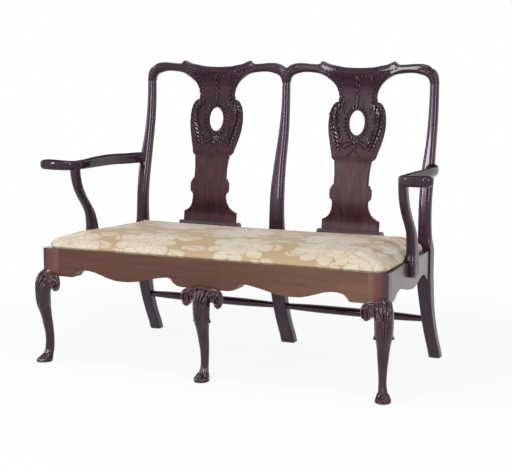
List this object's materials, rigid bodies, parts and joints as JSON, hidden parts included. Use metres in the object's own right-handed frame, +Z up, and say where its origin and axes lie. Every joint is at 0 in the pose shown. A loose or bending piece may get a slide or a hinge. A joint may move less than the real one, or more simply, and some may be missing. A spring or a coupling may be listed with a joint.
{
  "type": "chair back settee",
  "caption": "Open double chair-back settee with pierced vase splats, serpentine crest rails, out-turned arms, cabriole front legs and a padded drop-in seat.",
  "frame": {"origin": "on the floor, midway between the fronts of the middle leg's foot and the backs of the rear feet, on the middle line", "axes": "+X to the sitter's left along the seat's length, towards the right in a front view, +Y from the front legs towards the back posts, +Z up"},
  "size_m": [1.404, 0.707, 1],
  "materials": {
    "mahogany": "dark polished mahogany",
    "rail_mahogany": "polished mahogany, faded to a warmer brown",
    "beech": "plain oiled beech",
    "damask": "woven silk damask, ivory flowers on tan",
    "stuffing": "curled horsehair and wadding",
    "linen": "coarse linen webbing and hessian",
    "black_cloth": "thin black cotton",
    "steel": "darkened steel"
  },
  "bodies": {
    "frame": {"back_post_left": "mahogany", "back_post_centre": "mahogany", "back_post_right": "mahogany", "crest_rail_left": "mahogany", "crest_rail_right": "mahogany", "splat_left": "mahogany", "splat_right": "mahogany", "splat_shoe_left": "mahogany", "splat_shoe_right": "mahogany", "front_seat_rail": "rail_mahogany", "side_seat_rail_left": "rail_mahogany", "side_seat_rail_right": "rail_mahogany", "rear_seat_rail_left": "rail_mahogany", "rear_seat_rail_right": "rail_mahogany", "centre_cross_rail": "beech", "front_leg_left": "mahogany", "front_leg_centre": "mahogany", "front_leg_right": "mahogany", "knee_bracket_left": "mahogany", "knee_bracket_centre_left": "mahogany", "knee_bracket_centre_right": "mahogany", "knee_bracket_right": "mahogany", "rear_stretcher_left": "mahogany", "rear_stretcher_right": "mahogany", "arm_left": "mahogany", "arm_right": "mahogany", "arm_support_left": "mahogany", "arm_support_right": "mahogany", "corner_block_front_left": "beech", "corner_block_front_right": "beech", "corner_block_rear_left": "beech", "corner_block_rear_right": "beech", "corner_block_screws": "steel", "arm_support_screws": "steel", "arm_post_screws": "steel"},
    "slip_seat": {"seat_bar_front": "beech", "seat_bar_rear": "beech", "seat_bar_left": "beech", "seat_bar_right": "beech", "seat_bar_centre": "beech", "seat_webbing": "linen", "seat_hessian": "linen", "seat_stuffing": "stuffing", "seat_cover": "damask", "dust_cloth": "black_cloth", "dust_cloth_tacks": "steel"}
  },
  "joints": [
    {"name": "seat_lift", "type": "slide", "parent": "frame", "child": "slip_seat", "axis": [0, 0, 1], "range_m": [0, 0.65]}
  ]
}
